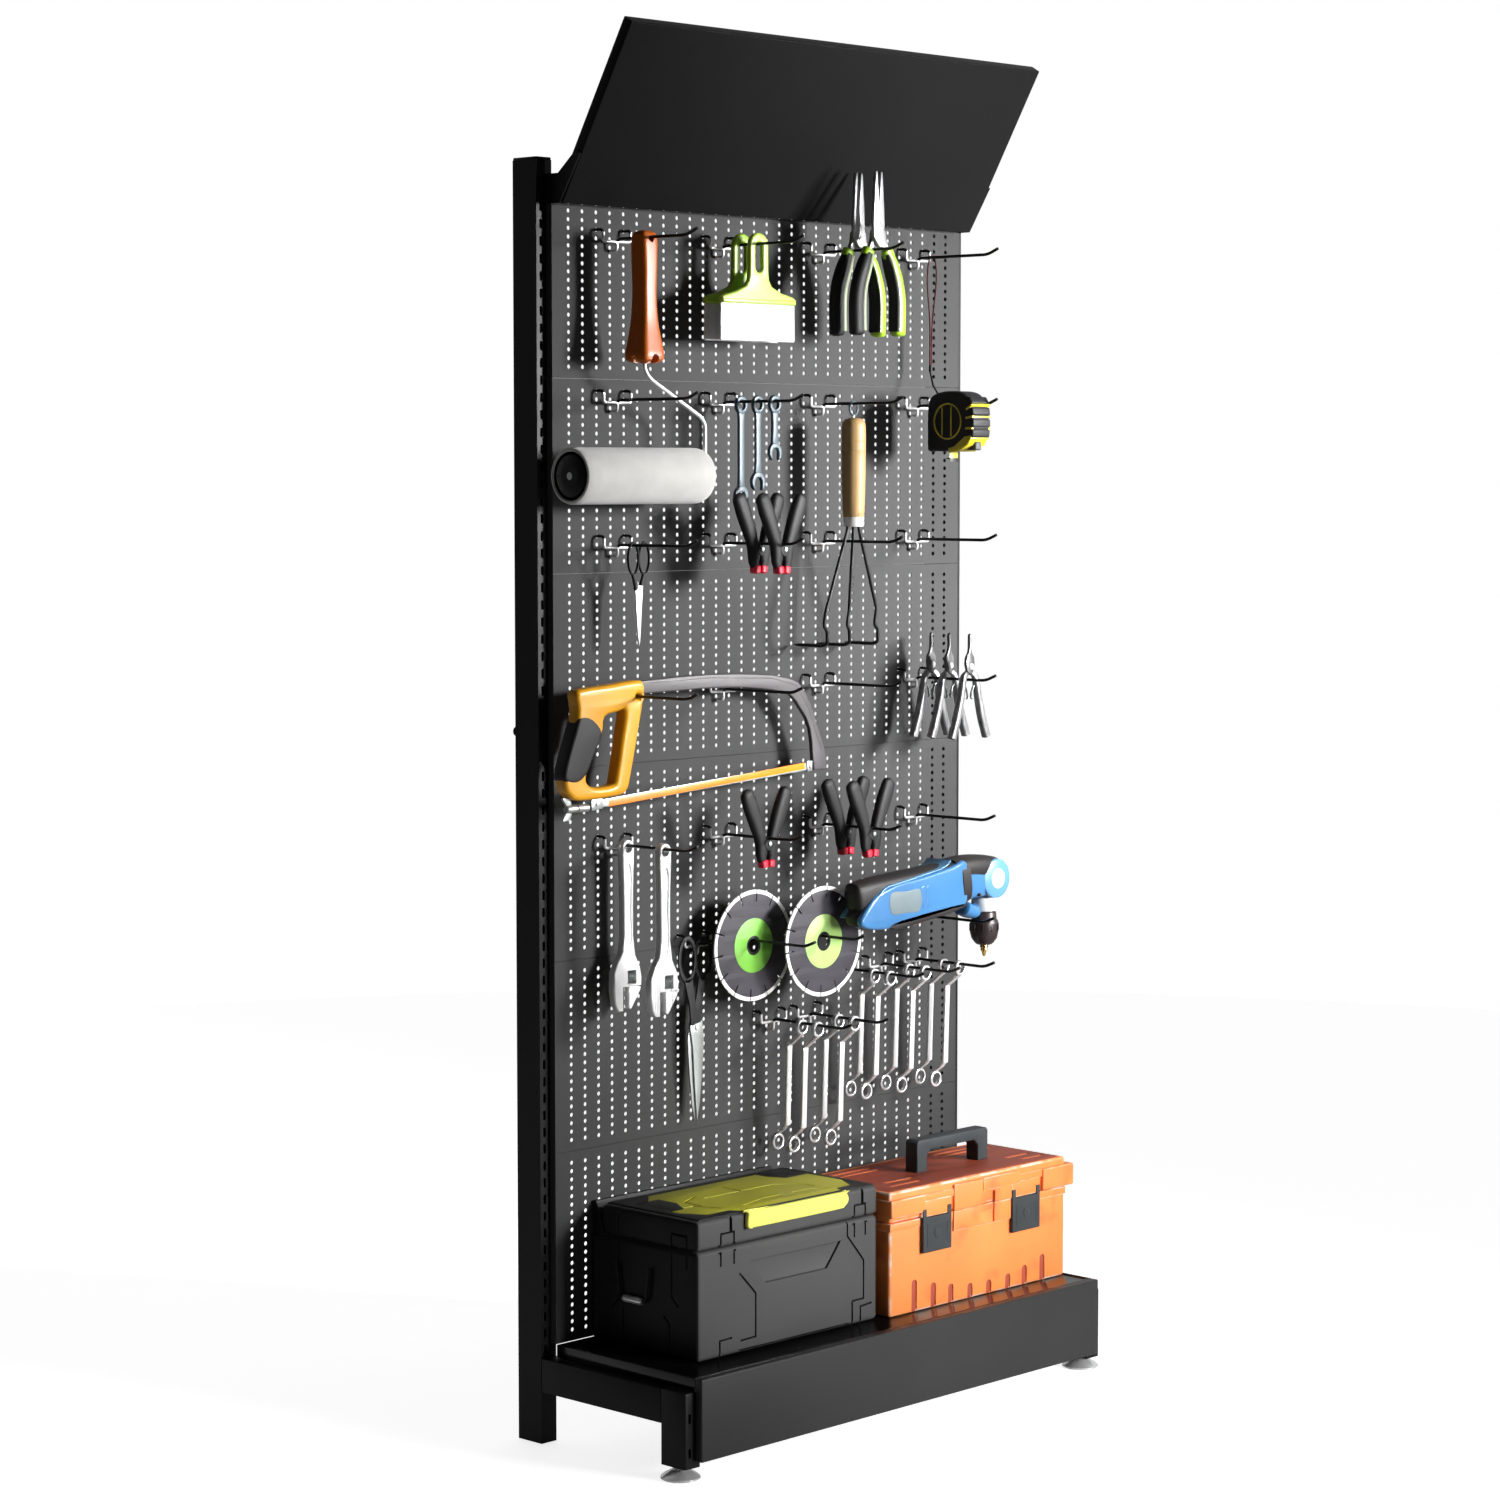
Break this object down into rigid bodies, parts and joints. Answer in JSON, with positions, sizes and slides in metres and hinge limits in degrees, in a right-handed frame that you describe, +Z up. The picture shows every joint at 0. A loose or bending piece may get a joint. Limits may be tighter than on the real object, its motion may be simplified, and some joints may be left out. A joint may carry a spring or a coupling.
{
  "type": "pegboard tool wall",
  "caption": "Free-standing perforated steel tool wall with leaning header and base deck, holding hooked hand tools and toolboxes.",
  "frame": {"origin": "on the floor, midway between the uprights in x and midway between the kick plate's front and the uprights' backs in y", "axes": "+X to the right seen from the front, -Y out of the front, +Z up"},
  "size_m": [0.9655, 0.365, 2.0732],
  "materials": {
    "black_coat": "satin black powder coat",
    "panel_coat": "satin dark grey coat",
    "header_coat": "satin black coat",
    "wire_chrome": "bright",
    "black_plastic": "fine grain",
    "lime_plastic": "smooth",
    "orange_plastic": "scuffed, dusty",
    "roller_orange": "smooth",
    "fleece": "short nap",
    "polished_steel": "bright",
    "satin_steel": "satin",
    "grey_paint": "satin",
    "yellow_plastic": "smooth",
    "blade_orange": "smooth paint",
    "dark_cord": "woven",
    "blue_plastic": "smooth",
    "disc_grey": "matt"
  },
  "bodies": {
    "wall": {"upright_left": "black_coat", "upright_right": "black_coat", "base_rail_left": "black_coat", "base_rail_right": "black_coat", "front_leg_left": "black_coat", "front_leg_right": "black_coat", "kick_plate": "black_coat", "base_deck": "black_coat", "back_panel_1": "panel_coat", "back_panel_2": "panel_coat", "back_panel_3": "panel_coat", "back_panel_4": "panel_coat", "back_panel_5": "panel_coat", "back_panel_6": "panel_coat", "header_bracket_left": "black_coat", "header_bracket_right": "black_coat", "header_board": "header_coat", "hook_row_1": "wire_chrome", "hook_row_2": "wire_chrome", "hook_row_3": "wire_chrome", "hook_row_4": "wire_chrome", "hook_row_5": "wire_chrome", "hook_row_6": "wire_chrome", "hook_row_7": "wire_chrome", "hook_row_8": "wire_chrome", "black_box_body": "black_plastic", "orange_box_body": "orange_plastic", "roller_handle": "roller_orange", "roller_frame": "wire_chrome", "scraper_front": "lime_plastic", "scraper_rear": "lime_plastic", "pliers_lever_front": "polished_steel", "tape_case": "black_plastic", "tape_lanyard": "dark_cord", "hacksaw_handle": "yellow_plastic", "hacksaw_frame": "grey_paint", "hacksaw_blade": "blade_orange", "adjustable_wrench_body": "polished_steel", "scissors_lever_rear": "satin_steel", "drill_body": "blue_plastic", "clamp_half_rear": "black_plastic"},
    "left_foot": {"levelling_foot_left": "wire_chrome"},
    "right_foot": {"levelling_foot_right": "wire_chrome"},
    "black_lid": {"black_box_lid": "black_plastic"},
    "black_latch": {"black_box_latch": "lime_plastic"},
    "black_side_handle": {"black_box_side_handle": "polished_steel"},
    "orange_lid": {"orange_box_lid": "orange_plastic", "orange_box_handle": "black_plastic"},
    "orange_latch_left": {"orange_box_latch_left": "black_plastic"},
    "orange_latch_right": {"orange_box_latch_right": "black_plastic"},
    "roller_sleeve": {"roller_sleeve": "fleece"},
    "pliers_rear": {"pliers_lever_rear": "polished_steel"},
    "tape_blade": {"tape_blade": "yellow_plastic"},
    "hacksaw_wing_nut": {"hacksaw_wing_nut": "polished_steel"},
    "wrench_jaw": {"adjustable_wrench_jaw": "polished_steel"},
    "scissors_front": {"scissors_lever_front": "satin_steel"},
    "disc_left": {"cutting_disc_left": "disc_grey"},
    "disc_right": {"cutting_disc_right": "disc_grey"},
    "drill_chuck": {"drill_chuck": "black_plastic"},
    "clamp_front": {"clamp_half_front": "black_plastic"}
  },
  "joints": [
    {"name": "left_foot_height", "type": "slide", "parent": "wall", "child": "left_foot", "axis": [0, 0, -1], "range_m": [0, 0.015]},
    {"name": "right_foot_height", "type": "slide", "parent": "wall", "child": "right_foot", "axis": [0, 0, -1], "range_m": [0, 0.015]},
    {"name": "black_lid_hinge", "type": "hinge", "parent": "wall", "child": "black_lid", "pos_m": [-0.1863, 0.0945, 0.3082], "axis": [-1, 0, 0], "range_deg": [0, 20]},
    {"name": "black_latch_hinge", "type": "hinge", "parent": "black_lid", "child": "black_latch", "pos_m": [-0.174, -0.1058, 0.356], "axis": [-1, 0, 0], "range_deg": [0, 80]},
    {"name": "black_side_handle_hinge", "type": "hinge", "parent": "wall", "child": "black_side_handle", "pos_m": [-0.3853, 0.0235, 0.274], "axis": [0, 1, 0], "range_deg": [0, 90]},
    {"name": "orange_lid_hinge", "type": "hinge", "parent": "wall", "child": "orange_lid", "pos_m": [0.2342, 0.0685, 0.2913], "axis": [-1, 0, 0], "range_deg": [0, 35]},
    {"name": "orange_latch_left_hinge", "type": "hinge", "parent": "orange_lid", "child": "orange_latch_left", "pos_m": [0.126, -0.117, 0.304], "axis": [-1, 0, 0], "range_deg": [0, 80]},
    {"name": "orange_latch_right_hinge", "type": "hinge", "parent": "orange_lid", "child": "orange_latch_right", "pos_m": [0.3395, -0.117, 0.304], "axis": [-1, 0, 0], "range_deg": [0, 80]},
    {"name": "roller_spin", "type": "hinge", "parent": "wall", "child": "roller_sleeve", "pos_m": [-0.3515, 0.0485, 1.427], "axis": [1, 0, 0], "continuous": true},
    {"name": "pliers_pivot", "type": "hinge", "parent": "wall", "child": "pliers_rear", "pos_m": [0.11088, -0.0075, 1.78805], "axis": [0, 1, 0], "range_deg": [0, 20]},
    {"name": "tape_pull", "type": "slide", "parent": "wall", "child": "tape_blade", "axis": [0, 0, -1], "range_m": [0, 0.035], "stiffness_N_per_m": 8, "springref_m": -0.06},
    {"name": "wing_nut_turn", "type": "hinge", "parent": "wall", "child": "hacksaw_wing_nut", "pos_m": [-0.447, 0.0745, 0.9455], "axis": [1, 0, 0], "continuous": true},
    {"name": "wrench_jaw_slide", "type": "slide", "parent": "wall", "child": "wrench_jaw", "axis": [-1, 0, 0], "range_m": [0, 0.011]},
    {"name": "scissors_pivot", "type": "hinge", "parent": "wall", "child": "scissors_front", "pos_m": [-0.17882, 0.097, 0.59341], "axis": [0, -1, 0], "range_deg": [0, 20]},
    {"name": "disc_left_spin", "type": "hinge", "parent": "wall", "child": "disc_left", "pos_m": [-0.08316, 0.0695, 0.71191], "axis": [0, 1, 0], "continuous": true},
    {"name": "disc_right_spin", "type": "hinge", "parent": "wall", "child": "disc_right", "pos_m": [0.02772, 0.0265, 0.71191], "axis": [0, 1, 0], "continuous": true},
    {"name": "drill_chuck_spin", "type": "hinge", "parent": "wall", "child": "drill_chuck", "pos_m": [0.366, -0.0105, 0.7], "axis": [0, 0, 1], "continuous": true},
    {"name": "clamp_pivot", "type": "hinge", "parent": "wall", "child": "clamp_front", "pos_m": [-0.11088, 0.0155, 0.86861], "axis": [0, 1, 0], "range_deg": [0, 7.5], "stiffness_Nm_per_rad": 1, "springref_deg": -17.19}
  ]
}
